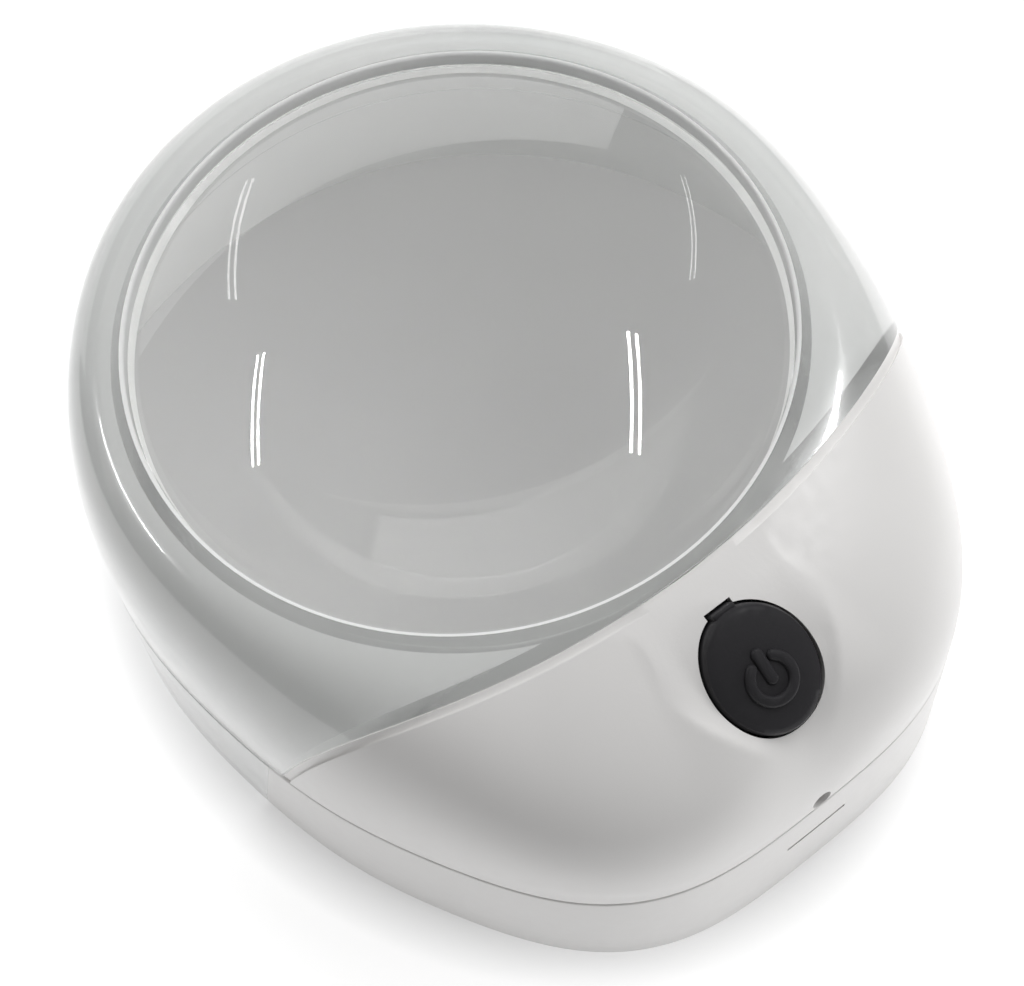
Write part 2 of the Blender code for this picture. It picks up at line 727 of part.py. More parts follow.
def make_base(parts, cutters, shared, material):
    blank = lower_blank(0, 0, SEAM_Z - GAP, FOOT_CHAMFER)
    smooth(blank)
    base = place("base_cover", blank, parts, material)
    inside = place("base_inside", lower_blank(WHITE_WALL, FLOOR, SEAM_Z + 2, 0), cutters)
    head = split_side("lower_head_side", LOWER_SPLIT, 1, -GAP, cutters)
    cut(base, as_cutter(inside), head, shared["around"])
    join(base, *screw_columns("base_column", FLOOR - 1, SEAM_Z - GAP, cutters))
    cut(base, *screw_holes("base_clearance", SCREW_R + CLEARANCE_EASE, 1, SEAM_Z + 1, cutters))
    cut(base, *screw_holes("base_counterbore", SCREW_HEAD_R + HOLE_EASE, -1, SCREW_HEAD_HIGH + 0.1, cutters))
    opening = prism("door_opening", door_outline(DOOR_GAP), -1, FLOOR + 1, cutters)
    slot = box("release_slot", (-SLOT_HALF_X, -70, SLOT_Z - SLOT_HIGH / 2),
               (SLOT_HALF_X, TONGUE_BACK_Y + 0.2, SLOT_Z + SLOT_HIGH / 2), cutters)
    cut(base, as_cutter(opening), as_cutter(slot))


def door_outline(grow):
    """Outline of the battery door with its narrow latch end, grown by a gap."""
    x = DOOR_HALF_X + grow
    neck = TONGUE_HALF_X + grow
    front = DOOR_FRONT_Y + grow
    back = DOOR_BACK_Y - grow
    end = TONGUE_BACK_Y - min(grow, 0.2)
    shoulder = back + 3.4
    right = [(neck, end), (neck, back), (x - 2.4, back), (x, shoulder), (x, front)]
    left = [(-px, py) for px, py in reversed(right)]
    return right + left


def make_door(parts, cutters, material):
    origin = Vector((0, (DOOR_FRONT_Y + DOOR_BACK_Y) / 2, DOOR_LOW))
    shift = Matrix.Translation(origin * MM)
    outline = [(x, y - origin.y) for x, y in door_outline(0)]
    door = prism("battery_door", outline, 0, DOOR_HIGH - DOOR_LOW, parts, material, shift)
    half = TONGUE_HALF_X - TONGUE_INSET
    back = TONGUE_BACK_Y + TONGUE_INSET
    tongue = box("door_tongue", (-half, back, DOOR_HIGH - 1), (half, back + TONGUE_THICK, TONGUE_HIGH), cutters)
    boolean(door, "UNION", as_cutter(tongue), "MANIFOLD")
    for i in range(GROOVE_COUNT):
        y = GROOVE_Y - GROOVE_STEP * i
        low = (-GROOVE_HALF_X, y - GROOVE_HALF_Y, DOOR_LOW - 1)
        high = (GROOVE_HALF_X, y + GROOVE_HALF_Y, DOOR_LOW + GROOVE_DEEP)
        cut(door, as_cutter(box("grip_groove_%d" % i, low, high, cutters)))


def make_cradle(parts, cutters, material):
    outline = cradle_outline(0)
    cradle = prism("battery_cradle", outline, CRADLE_LOW, CRADLE_HIGH, parts, material)
    inner = prism("cradle_inside", cradle_outline(CRADLE_WALL), CRADLE_LOW - 1, CRADLE_HIGH + 1, cutters)
    cut(cradle, as_cutter(inner))


def cradle_outline(inset):
    x = CRADLE_HALF_X - inset
    front = CRADLE_FRONT_Y - inset
    back = CRADLE_BACK_Y + inset
    right = [(x - 2.4, back), (x, back + 3.6), (x, front)]
    left = [(-px, py) for px, py in reversed(right)]
    return right + left


def make_cells(parts, jacket):
    """Two cells lying across the tail, pointing opposite ways."""
    reach = PLATE_X - 0.3 - NUB_LENGTH
    for name, z, side in (("cell_lower", CELL_LOW_Z, -1), ("cell_upper", CELL_HIGH_Z, 1)):
        spot = Matrix.Translation(Vector((side * reach, CELL_Y, z)) * MM)
        spot @= Matrix.Rotation(math.radians(90 * side), 4, Vector((0, 1, 0)))
        profile = [(0, NUB_LENGTH), (NUB_R, NUB_LENGTH), (NUB_R, 0), (CELL_R - 0.5, 0), (CELL_R, -0.5),
                   (CELL_R, -CELL_BODY + 0.5), (CELL_R - 0.5, -CELL_BODY), (0, -CELL_BODY)]
        turned(name, profile, parts, jacket, spot, 32)


def make_contacts(parts, metal):
    front = CRADLE_FRONT_Y - CRADLE_WALL - 0.3
    side_on = Matrix(((0, 0, 1, 0), (1, 0, 0, 0), (0, 1, 0, 0), (0, 0, 0, 1)))
    low, high = CELL_LOW_Z, CELL_HIGH_Z
    link = [(-48.4, low - 3.6), (-43.2, low - 3.6), (-43.2, high + 3), (-48.4, high + 3)]
    prism("link_plate", link, -PLATE_X - PLATE_THICK, -PLATE_X, parts, metal, side_on)
    positive = [(-48.4, high - 3.6), (-43.2, high - 3.6), (-43.2, high + 6.4), (-45.2, high + 6.4),
                (-45.2, high + 3.4), (-48.4, high + 3.4)]
    prism("positive_plate", positive, PLATE_X, PLATE_X + PLATE_THICK, parts, metal, side_on)
    negative = [(-48.4, low - 3.6), (front - 0.2, low - 3.6), (front - 0.2, high + 6.4),
                (front - 1.4, high + 6.4), (front - 1.4, low + 3.4), (-48.4, low + 3.4)]
    prism("negative_plate", negative, PLATE_X, PLATE_X + PLATE_THICK, parts, metal, side_on)
    cell_end = PLATE_X - 0.3 - NUB_LENGTH - CELL_BODY
    for name, z, side in (("spring_lower", low, 1), ("spring_upper", high, -1)):
        start = -cell_end + SPRING_WIRE + 0.1
        stop = PLATE_X - SPRING_WIRE - 0.1
        points = []
        count = 10 * SPRING_TURNS
        for i in range(count + 1):
            turn = 2 * math.pi * i / 10
            x = side * (start + (stop - start) * i / count)
            points.append((x, CELL_Y + SPRING_R * math.cos(turn), z + SPRING_R * math.sin(turn)))
        wire(name, points, SPRING_WIRE, parts, metal)


def make_screws(parts, metal):
    for x, y, label in SCREW_SPOTS:
        spot = Matrix.Translation(Vector((x, y, 0)) * MM)
        profile = [(0, SCREW_TIP), (SCREW_R, SCREW_TIP - 0.8), (SCREW_R, SCREW_HEAD_HIGH),
                   (SCREW_HEAD_R, SCREW_HEAD_HIGH), (SCREW_HEAD_R, SCREW_HEAD_LOW), (0, SCREW_HEAD_LOW)]
        turned("screw_" + label, profile, parts, metal, spot, 20)


def make_cables(parts, red, black):
    front = CRADLE_FRONT_Y - CRADLE_WALL - 0.3
    board = button_matrix()

    def on_board(x, y):
        spot = board @ (Vector((x, y, BOARD_TOP + 0.55)) * MM)
        return tuple(spot / MM)

    plate_top = CELL_HIGH_Z + 6.4
    inner_x = PLATE_X - 0.6
    positive_start = (inner_x, -44.2, plate_top - 0.5)
    negative_start = (inner_x, front - 0.8, plate_top - 0.5)
    positive_end = on_board(BOARD_HALF_X - 0.6, BOARD_HIGH_REACH - 2.4)
    negative_end = on_board(BOARD_HALF_X - 0.6, BOARD_HIGH_REACH - 0.6)
    positive_path = arc_between(positive_start, (20, -44.5, 31.5), positive_end)
    negative_path = arc_between(negative_start, (20, -41.6, 32.5), negative_end)
    wire("battery_cable_red", positive_path, BATTERY_CABLE_R, parts, red)
    wire("battery_cable_black", negative_path, BATTERY_CABLE_R, parts, black)
    for x, name, material in ((-2.5, "led_cable_red", red), (2.5, "led_cable_black", black)):
        start = (x, LED_BOARD_BACK - 0.55, LED_Z + 1.4)
        end = on_board(x, BOARD_HIGH_REACH - 0.8)
        wire(name, arc_between(start, (x, -42.6, 33.2), end), LED_CABLE_R, parts, material)


def main():
    clear_scene()
    parts = make_collection("low_vision_magnifier")
    cutters = make_collection("cutters")
    make_lens_axis(parts)
    mats = {name: make_material(name, colour) for name, colour in COLOURS.items()}
    shared = make_cutters(cutters)
    make_upper_ring(parts, cutters, shared, mats["clear_acrylic"])
    make_lower_ring(parts, cutters, shared, mats["clear_acrylic"])
    make_lens(parts, mats["lens_acrylic"])
    make_top_cover(parts, cutters, shared, mats["white_plastic"])
    make_base(parts, cutters, shared, mats["white_plastic"])
    make_door(parts, cutters, mats["white_plastic"])
    make_button(parts, cutters, mats["black_rubber"])
    make_switch(parts, cutters, mats["black_plastic"], mats["steel"])
    make_main_board(parts, cutters, mats["board_green"], mats["black_plastic"], mats["steel"])
    make_led_board(parts, mats["board_green"], mats["led_white"])
    make_cradle(parts, cutters, mats["black_plastic"])
    make_cells(parts, mats["cell_jacket"])
    make_contacts(parts, mats["steel"])
    make_screws(parts, mats["steel"])
    make_cables(parts, mats["red_cable"], mats["black_cable"])


main()
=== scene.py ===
"""Low vision magnifier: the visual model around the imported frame.

Shapes are worked out in millimetres from the lens axis, as in the CAD, and world() turns them
into metres in the frame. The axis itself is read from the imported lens.
"""
import math

import bmesh
import bpy
from mathutils import Matrix, Vector

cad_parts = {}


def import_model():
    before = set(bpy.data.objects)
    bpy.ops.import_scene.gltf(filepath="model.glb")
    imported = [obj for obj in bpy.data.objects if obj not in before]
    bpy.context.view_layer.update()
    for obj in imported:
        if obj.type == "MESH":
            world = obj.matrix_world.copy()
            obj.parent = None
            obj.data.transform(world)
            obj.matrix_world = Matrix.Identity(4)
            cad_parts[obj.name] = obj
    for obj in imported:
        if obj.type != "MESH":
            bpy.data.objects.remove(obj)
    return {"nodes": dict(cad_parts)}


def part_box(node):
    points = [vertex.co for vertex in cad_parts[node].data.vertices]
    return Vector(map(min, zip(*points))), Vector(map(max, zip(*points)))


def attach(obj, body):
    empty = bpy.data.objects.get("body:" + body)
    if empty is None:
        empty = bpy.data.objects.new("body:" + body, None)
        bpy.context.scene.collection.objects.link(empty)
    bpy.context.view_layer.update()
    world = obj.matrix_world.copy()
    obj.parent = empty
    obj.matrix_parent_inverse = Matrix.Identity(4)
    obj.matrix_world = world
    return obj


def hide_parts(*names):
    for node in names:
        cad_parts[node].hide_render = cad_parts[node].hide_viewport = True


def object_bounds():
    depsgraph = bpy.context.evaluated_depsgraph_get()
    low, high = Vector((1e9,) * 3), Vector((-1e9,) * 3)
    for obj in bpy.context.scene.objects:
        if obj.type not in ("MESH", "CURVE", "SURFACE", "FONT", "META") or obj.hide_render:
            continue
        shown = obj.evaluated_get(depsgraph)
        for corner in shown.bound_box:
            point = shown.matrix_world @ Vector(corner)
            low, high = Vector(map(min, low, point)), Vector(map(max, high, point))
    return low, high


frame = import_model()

CAD_BOX = [list(corner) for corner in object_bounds()]
MM = 0.001
AXIS_X = Vector((1, 0, 0))
LENS_LOW, LENS_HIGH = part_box("lens")
AXIS_Y = (LENS_LOW.y + LENS_HIGH.y) / 2 / MM

# ---- body outline, as in the CAD -----------------------------------------------------------------
PLAN_CENTRE_Y = -14.6
PLAN_WAVES = (49.7, 6.55, 4.9, 0.05, -0.35, 0.5, -0.2, 0.3, -0.2)
SHOULDER_WAVES = (2.85, 0.6, -0.15)
CREASE_START = 18.0
CREASE_REACH = 70.0
CREASE_FADE = 36.0
CREASE_ACROSS = 0.48
CREASE_UPRIGHT = 0.8
SEAM_Z = 18.6
RIM_Z = 40.5
RIM_EXTRA = 0.6                 # outer shells meet the rim this far outside the lens pocket
GAP = 0.15
SPLIT_GAP = 0.03                # the head and tail all but touch
CLEAR_WALL = 2.2
WHITE_WALL = 2.0
FLOOR = 2.0
FACE_WALL = 1.8
SPLIT_CURVE = 200.0
UPPER_SPLIT = (-38.2, 39.0, 18.3)
LOWER_SPLIT = (-29.5, 18.0, 11.3)
POCKET_R = 36.65
SEAT_R = 35.2
SEAT_LOW = 33.5
SEAT_TOP = 34.95
TUBE_IN = 36.3
TUBE_OUT = 38.3
TAIL_CLEAR_R = 38.6

# ---- finer detail that the CAD leaves out --------------------------------------------------------
TAIL_FINE = 0.38                # half angle of the finely divided tail end
TAIL_FINE_STEP = 0.0062
COARSE_STEP = 0.028
SHOULDER_ROWS = 46
INNER_ROWS = 16
SEAM_ROUND = 0.35
FOOT_ROUND = 0.9
RIM_ROUND = 0.5
CHAMFER_WIDE = 1.1              # light step along the white cover's front edge
CHAMFER_DEEP = 0.3
CIRCLE = 160

# ---- lens ----------------------------------------------------------------------------------------
LENS_R = 36.5
LENS_EDGE_LOW = 35.4
LENS_EDGE_HIGH = 38.9
LENS_TOP_CURVE = 75.0
LENS_BOTTOM_CURVE = 250.0

# ---- button and recess ---------------------------------------------------------------------------
BUTTON_STEP = 0.62
BUTTON_LONG = 7.1
BUTTON_WIDE = 6.1
BUTTON_GAP = 0.3
BUTTON_CROWN = 1.1
BUTTON_EDGE = 0.45
FLANGE_TOP = -3.6
FLANGE_LOW = -4.3
FLANGE_REACH = 1.0
RECESS_DEPTH = 0.9
RECESS_SPAN = 0.5
RECESS_FIRST = 0.25
RECESS_LAST = 0.98
RECESS_HALF_X = 12.3
RECESS_TOP_Y = -37.5
RECESS_END_Y = -59.4
RECESS_SOFT = 5.0
RECESS_FADE = 6.0
RECESS_MOST = 1.1
KEY_HALF_X = 1.4
KEY_REACH = 0.35
KEY_TOP = 0.2
KEY_SINK = 0.3                  # the key starts inside the flange, so that no faces coincide
KEY_SOFT = 0.25
SYMBOL_Y = -1.1
SYMBOL_R = 2.4
SYMBOL_LINE = 1.25
SYMBOL_RISE = 0.42
SYMBOL_OPENING = 35
SYMBOL_EDGE = 0.4
BAR_HALF = 0.7
BAR_TOP = 3.6
BAR_LOW = -0.7

# ---- underside: screws and battery door, as in the CAD -------------------------------------------
SCREW_SPOTS = {"front_right": (30.5, -40.5), "front_left": (-30.5, -40.5),
               "rear_right": (14.0, -55.2), "rear_left": (-14.0, -55.2)}
COLUMN_R = 2.4
COLUMN_GAP = 0.3                # the cover's columns start this far above the seam
POST_R = 2.0
BOARD_TOP = -9.7                # from here on along the button's axis
BOARD_SCREW_X = 10.5
BOARD_REST = 0.15               # gap between the board and its posts
BOARD_PILOT_HIGH = 3.4
PILOT_STEPS = 28
SCREW_R = 0.8
SCREW_CLEARANCE = 0.2
SCREW_HEAD_R = 1.55
SCREW_HEAD_LOW = 1.0
SCREW_HEAD_HIGH = 2.2
SCREW_TIP = 24.6
SCREW_PITCH = 0.8
THREAD_DEEP = 0.2
POCKET_BEVEL = 0.35
POCKET_STEPS = 44               # the columns have 32 steps, so few corners line up
HOLE_EASE = 0.12
CROSS_LONG = 0.85
CROSS_HALF = 0.17
CROSS_DEEP = 0.55
DOOR_LOW = 0.3
DOOR_HIGH = 1.9
DOOR_FRONT_Y = -40.7
DOOR_BACK_Y = -52.1
DOOR_HALF_X = 24.6
DOOR_CORNER = (2.4, 3.4)
DOOR_GAP = 0.3
DOOR_SOFT = 0.2
TONGUE_HALF_X = 4.0
TONGUE_BACK_Y = -58.6
TONGUE_THICK = 1.2
TONGUE_INSET = 0.3
TONGUE_HIGH = 12.0
GROOVE_COUNT = 4
GROOVE_STEP = 1.6
GROOVE_Y = -44.2
GROOVE_HALF_X = 6.0
GROOVE_R = 0.4
END_HOLE_Z = 20.1
END_HOLE_R = 1.25
SLOT_Z = 11.3
SLOT_HALF_X = 4.15
SLOT_HIGH = 0.7

# ---- camera and light ----------------------------------------------------------------------------
CAMERA_ELEVATION = 62.4
CAMERA_AZIMUTH = -30.9
CAMERA_ROLL = -7.9
CAMERA_DISTANCE = 0.27788
CAMERA_LENS = 78.24
CAMERA_SHIFT = (0.0303, 0.001)
CEILING = 0.9                   # height of the tube lamps; their other sizes are shares of it
TUBE_LENGTH = 0.478
TUBE_WIDTH = 0.012
TUBE_SPACING = 0.034
TUBE_POWER = 1.2
TUBE_ALONG = Vector((-0.621, -0.784, 0))
TUBE_PAIRS = {"left": Vector((-0.485, 0.7185, 1)), "right": Vector((0.573, -0.152, 1))}
WORLD_LIGHT = 0.17
KEY_SPOT = (0.5, 0.35, 0.72)
KEY_SIZE = 0.7
KEY_POWER = 5.0
END_SPOT = (0.6, -0.5, 0.07)
END_SIZE = 0.3
END_POWER = 2.0
BACK_SPOT = (0.25, 1.0, 0.22)   # bright wall beyond the object, seen through the frosted tube
BACK_SIZE = (1.7, 0.5)
BACK_POWER = 3.2
FLOOR_HALF = 2.0
FLOOR_COLOUR = (0.56, 0.56, 0.56)
FLOOR_DROP = 0.0001
FLOOR_GLOW = 0.75               # the floor glows beyond the object, from these shares of its half size
GLOW_FROM = 0.86
GLOW_FULL = 1.12


# ---- small helpers -------------------------------------------------------------------------------
def world(x, y, z):
    return Vector((x, y + AXIS_Y, z)) * MM


def at(x, y, z=0):
    return Matrix.Translation(world(x, y, z))


def new_object(name, mesh, matrix=None):
    obj = bpy.data.objects.new(name, mesh)
    bpy.context.scene.collection.objects.link(obj)
    if matrix is not None:
        mesh.transform(matrix)
    return obj


def tidy_mesh(mesh):
    bm = bmesh.new()
    bm.from_mesh(mesh)
    bmesh.ops.remove_doubles(bm, verts=bm.verts, dist=0.000002)
    bmesh.ops.recalc_face_normals(bm, faces=bm.faces)
    bm.to_mesh(mesh)
    bm.free()


def applied(obj):
    """Give an object its evaluated mesh and drop its modifiers."""
    depsgraph = bpy.context.evaluated_depsgraph_get()
    mesh = bpy.data.meshes.new_from_object(obj.evaluated_get(depsgraph))
    obj.modifiers.clear()
    obj.data = mesh
    return obj


def boolean(obj, operation, *others):
    """Join or cut with other objects, which are used up."""
    for other in others:
        step = obj.modifiers.new("step", "BOOLEAN")
        step.operation = operation
        step.solver = "EXACT"
        step.material_mode = "TRANSFER"
        step.object = other
        applied(obj)
        bpy.data.objects.remove(other, do_unlink=True)
    return obj


def smooth(obj, degrees=30):
    obj.data.shade_smooth()
    obj.data.set_sharp_from_angle(angle=math.radians(degrees))
    return obj


def soften(obj, width, segments=3, degrees=40):
    """Round the sharp edges of a solid."""
    bevel = obj.modifiers.new("soften", "BEVEL")
    bevel.width = width * MM
    bevel.segments = segments
    bevel.limit_method = "ANGLE"
    bevel.angle_limit = math.radians(degrees)
    bevel.harden_normals = False
    return applied(obj)


def finish_piece(obj, body, replaced, material=None, degrees=30):
    """Shade a piece, ride it on its body and let it stand for its CAD nodes."""
    if material is not None:
        obj.data.materials.clear()
        obj.data.materials.append(material)
    smooth(obj, degrees)
    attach(obj, body)
    if replaced:
        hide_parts(*replaced)
    return obj


# ---- shapes --------------------------------------------------------------------------------------
def loft(name, rings, material=None):
    """Closed solid through equal-count rings of (x, y, z) in millimetres from the lens axis."""
    count = len(rings[0])
    verts = [world(*point) for ring in rings for point in ring]
    faces = [tuple(range(count))]
    for row in range(len(rings) - 1):
        low = row * count
        for i in range(count):
            j = (i + 1) % count
            faces.append((low + i, low + count + i, low + count + j, low + j))
    top = (len(rings) - 1) * count
    faces.append(tuple(top + i for i in reversed(range(count))))
    mesh = bpy.data.meshes.new(name)
    mesh.from_pydata(verts, [], faces)
    if material is not None:
        mesh.materials.append(material)
    tidy_mesh(mesh)
    return new_object(name, mesh)


def turned(name, profile, material=None, matrix=None, steps=CIRCLE):
    """Round solid about the lens axis, or about local Z of a matrix, from (radius, height)."""
    rings = []
    for radius, height in profile:
        ring = []
        for i in range(steps):
            angle = 2 * math.pi * i / steps
            ring.append(Vector((radius * math.cos(angle), radius * math.sin(angle), height)) * MM)
        rings.append(ring)
    verts = [point for ring in rings for point in ring]
    faces = []
    for row in range(len(rings) - 1):
        low = row * steps
        for i in range(steps):
            j = (i + 1) % steps
            faces.append((low + i, low + j, low + steps + j, low + steps + i))
    mesh = bpy.data.meshes.new(name)
    mesh.from_pydata(verts, [], faces)
    if material is not None:
        mesh.materials.append(material)
    obj = new_object(name, mesh, matrix if matrix is not None else at(0, 0))
    tidy_mesh(mesh)
    return obj


def layered(name, layers, matrix, material=None):
    """Closed solid through equal-count flat outlines of (x, y), each given with its local height."""
    verts = [Vector((x, y, z)) * MM for z, outline in layers for x, y in outline]
    count = len(layers[0][1])
    top = (len(layers) - 1) * count
    faces = [tuple(range(count)), tuple(reversed(range(top, top + count)))]
    for low in range(0, top, count):
        faces += [(low + i, low + count + i, low + count + (i + 1) % count, low + (i + 1) % count)
                  for i in range(count)]
    mesh = bpy.data.meshes.new(name)
    mesh.from_pydata(verts, [], faces)
    if material is not None:
        mesh.materials.append(material)
    obj = new_object(name, mesh, matrix)
    tidy_mesh(mesh)
    return obj


def prism(name, outline, low, high, matrix, material=None):
    """Flat outline of (x, y) raised along local Z of a matrix."""
    return layered(name, [(low, outline), (high, outline)], matrix, material)


def block(name, low, high, matrix=None, material=None):
    outline = [(low[0], low[1]), (high[0], low[1]), (high[0], high[1]), (low[0], high[1])]
    if matrix is None:
        matrix = at(0, 0)
    return prism(name, outline, low[2], high[2], matrix, material)


def rod(name, radius, low, high, matrix, steps=48, material=None):
    profile = [(0, high), (radius, high), (radius, low), (0, low)]
    return turned(name, profile, material, matrix, steps)


# ---- body outline --------------------------------------------------------------------------------
def plan_angles():
    """Angles round the outline, close together across the tail's end where the recess is."""
    angles = []
    angle = 0.0
    while angle < 2 * math.pi - COARSE_STEP / 2:
        angles.append(angle)
        fine = abs(angle - math.pi) < TAIL_FINE
        angle += TAIL_FINE_STEP if fine else COARSE_STEP
    return angles


ANGLES = plan_angles()


def plan_point(angle):
    radius = sum(size * math.cos(k * angle) for k, size in enumerate(PLAN_WAVES))
    return Vector((radius * math.sin(angle), PLAN_CENTRE_Y + radius * math.cos(angle)))


def plan_ring(inset):
    ring = []
    for angle in ANGLES:
        along = plan_point(angle + 0.01) - plan_point(angle - 0.01)
        outward = Vector((-along.y, along.x)).normalized()
        ring.append(plan_point(angle) - outward * inset)
    return ring


def eased(value):
    value = min(max(value, 0.0), 1.0)
    return value * value * (3 - 2 * value)


def shoulder_share(angle, step):
    """Inward and upward shares of the shoulder, with a steep wall and a crease beside the tail."""
    turn = math.pi / 2 * step
    away = abs(math.degrees(angle) - 180)
    crease = eased(away / CREASE_START) * eased((CREASE_REACH - away) / CREASE_FADE)
    power = sum(size * math.cos(k * angle) for k, size in enumerate(SHOULDER_WAVES))
    inward = 1 - max(math.cos(turn), 0.0) ** (2 / (power * (1 - CREASE_ACROSS * crease)))
    return inward, max(math.sin(turn), 0.0) ** (2 / (power * (1 + CREASE_UPRIGHT * crease)))


def upper_rings(inset, low, high, rim_r, edge_round=0.0, rows=SHOULDER_ROWS):
    """Rings of the upper half, from the seam up to the round rim."""
    start = SEAM_Z + GAP
    rings = []
    if low < start:
        rings.append([(p.x, p.y, low) for p in plan_ring(inset)])
    if edge_round:
        for share in (0.0, 0.15, 0.4, 0.7):
            extra = edge_round * (1 - math.sqrt(1 - (1 - share) ** 2))
            rings.append([(p.x, p.y, start + edge_round * share) for p in plan_ring(inset + extra)])
    plan = plan_ring(inset)
    first = 1 if edge_round else 0
    for row in range(first, rows + 1):
        ring = []
        for angle, p in zip(ANGLES, plan):
            inward, upward = shoulder_share(angle, row / rows)
            q = p.lerp(p.normalized() * rim_r, inward)
            height = start + (high - start) * upward
            ring.append((q.x, q.y, max(height, start + edge_round)))
        rings.append(ring)
    return rings


def lower_rings(inset, low, high, foot_round=0.0, edge_round=0.0):
    rings = []
    if foot_round:
        for share in (0.0, 0.12, 0.35, 0.65):
            extra = foot_round * (1 - math.sqrt(1 - (1 - share) ** 2))
            rings.append([(p.x, p.y, low + foot_round * share) for p in plan_ring(inset + extra)])
    for share in (0, 0.5, 1):
        height = low + foot_round + (high - edge_round - low - foot_round) * share
        rings.append([(p.x, p.y, height) for p in plan_ring(inset)])
    if edge_round:
        for share in (0.3, 0.6, 0.85, 1.0):
            extra = edge_round * (1 - math.sqrt(1 - share ** 2))
            rings.append([(p.x, p.y, high - edge_round * (1 - share)) for p in plan_ring(inset + extra)])
    return rings


# ---- recess and button place, as in the CAD ------------------------------------------------------
def tail_point(step):
    start = plan_point(math.pi)
    inward, upward = shoulder_share(math.pi, step)
    return Vector((start.y + (-POCKET_R - start.y) * inward, SEAM_Z + (RIM_Z - SEAM_Z) * upward))


def tail_frame(step):
    along = tail_point(step + 0.01) - tail_point(step - 0.01)
    return tail_point(step), Vector((-along.y, along.x)).normalized()


def recess_floor():
    """Floor of the recess on the centre line as (y, z), from the tail's end to the lens."""
    points = []
    count = 40
    for i in range(count + 1):
        step = RECESS_FIRST + (RECESS_LAST - RECESS_FIRST) * i / count
        spot, out = tail_frame(step)
        depth = RECESS_DEPTH * (1 - ((step - BUTTON_STEP) / RECESS_SPAN) ** 2)
        points.append(spot - out * depth)
    return points


def recess_half_width(y):
    share = (RECESS_TOP_Y - y) / (RECESS_TOP_Y - RECESS_END_Y)
    share = min(max(share, 0.0), 1.0)
    return RECESS_HALF_X * (1 - share ** 1.9) ** 0.6


def sink_recess(rings):
    """Lower the top of the tail towards the recess floor, from a fine crease at the recess's outline."""
    floor = recess_floor()
    sunk = []
    for ring in rings:
        line = []
        for x, y, z in ring:
            if abs(x) < RECESS_HALF_X and floor[0].x < y < floor[-1].x and z > SEAM_Z + 4:
                k = next(i for i in range(1, len(floor)) if floor[i].x >= y)
                a, b = floor[k - 1], floor[k]
                level = a.y + (b.y - a.y) * (y - a.x) / (b.x - a.x)
                inwards = min(max((recess_half_width(y) - abs(x)) / RECESS_SOFT, 0.0), 1.0)
                share = (1 - (1 - inwards) ** 2) * eased((y - RECESS_END_Y) / RECESS_FADE)
                z -= min(max(z - level, 0.0), RECESS_MOST) * share
            line.append((x, y, z))
        sunk.append(line)
    return sunk


def button_matrix():
    centre, normal = tail_frame(BUTTON_STEP)
    floor = centre - normal * RECESS_DEPTH
    lean = Matrix.Rotation(math.atan2(-normal.x, normal.y), 4, AXIS_X)
    return at(0, floor.x, floor.y) @ lean


def split_zone(name, split, side, shift, material=None):
    """Everything on one side of the leaning split surface: +1 is the head, -1 the tail."""
    y0, z0, lean = split
    outline = [(x, x * x / SPLIT_CURVE) for x in range(-60, 61, 3)]
    outline += [(60, side * 95.0), (-60, side * 95.0)]
    matrix = at(0, y0 + shift, z0)
    matrix @= Matrix.Rotation(math.radians(lean), 4, AXIS_X)
    return prism(name, outline, -70, 70, matrix, material)


def bore(material=None):
    """Lens pocket, seat and tube in one round cutter, with a rounded rim."""
    profile = [(0, RIM_Z + 5), (POCKET_R + RIM_ROUND, RIM_Z + 5)]
    for i in range(6):
        turn = math.pi / 2 * i / 5
        wide = POCKET_R + RIM_ROUND * (1 - math.sin(turn))
        profile.append((wide, RIM_Z - RIM_ROUND * (1 - math.cos(turn))))
    profile += [(POCKET_R, SEAT_TOP), (SEAT_R, SEAT_TOP), (SEAT_R, SEAT_LOW), (TUBE_IN, SEAT_LOW),
                (TUBE_IN, -2), (0, -2)]
    return turned("bore", profile, material)


def tube(name, radius, material=None):
    return rod(name, radius, -5, 60, at(0, 0), CIRCLE, material)


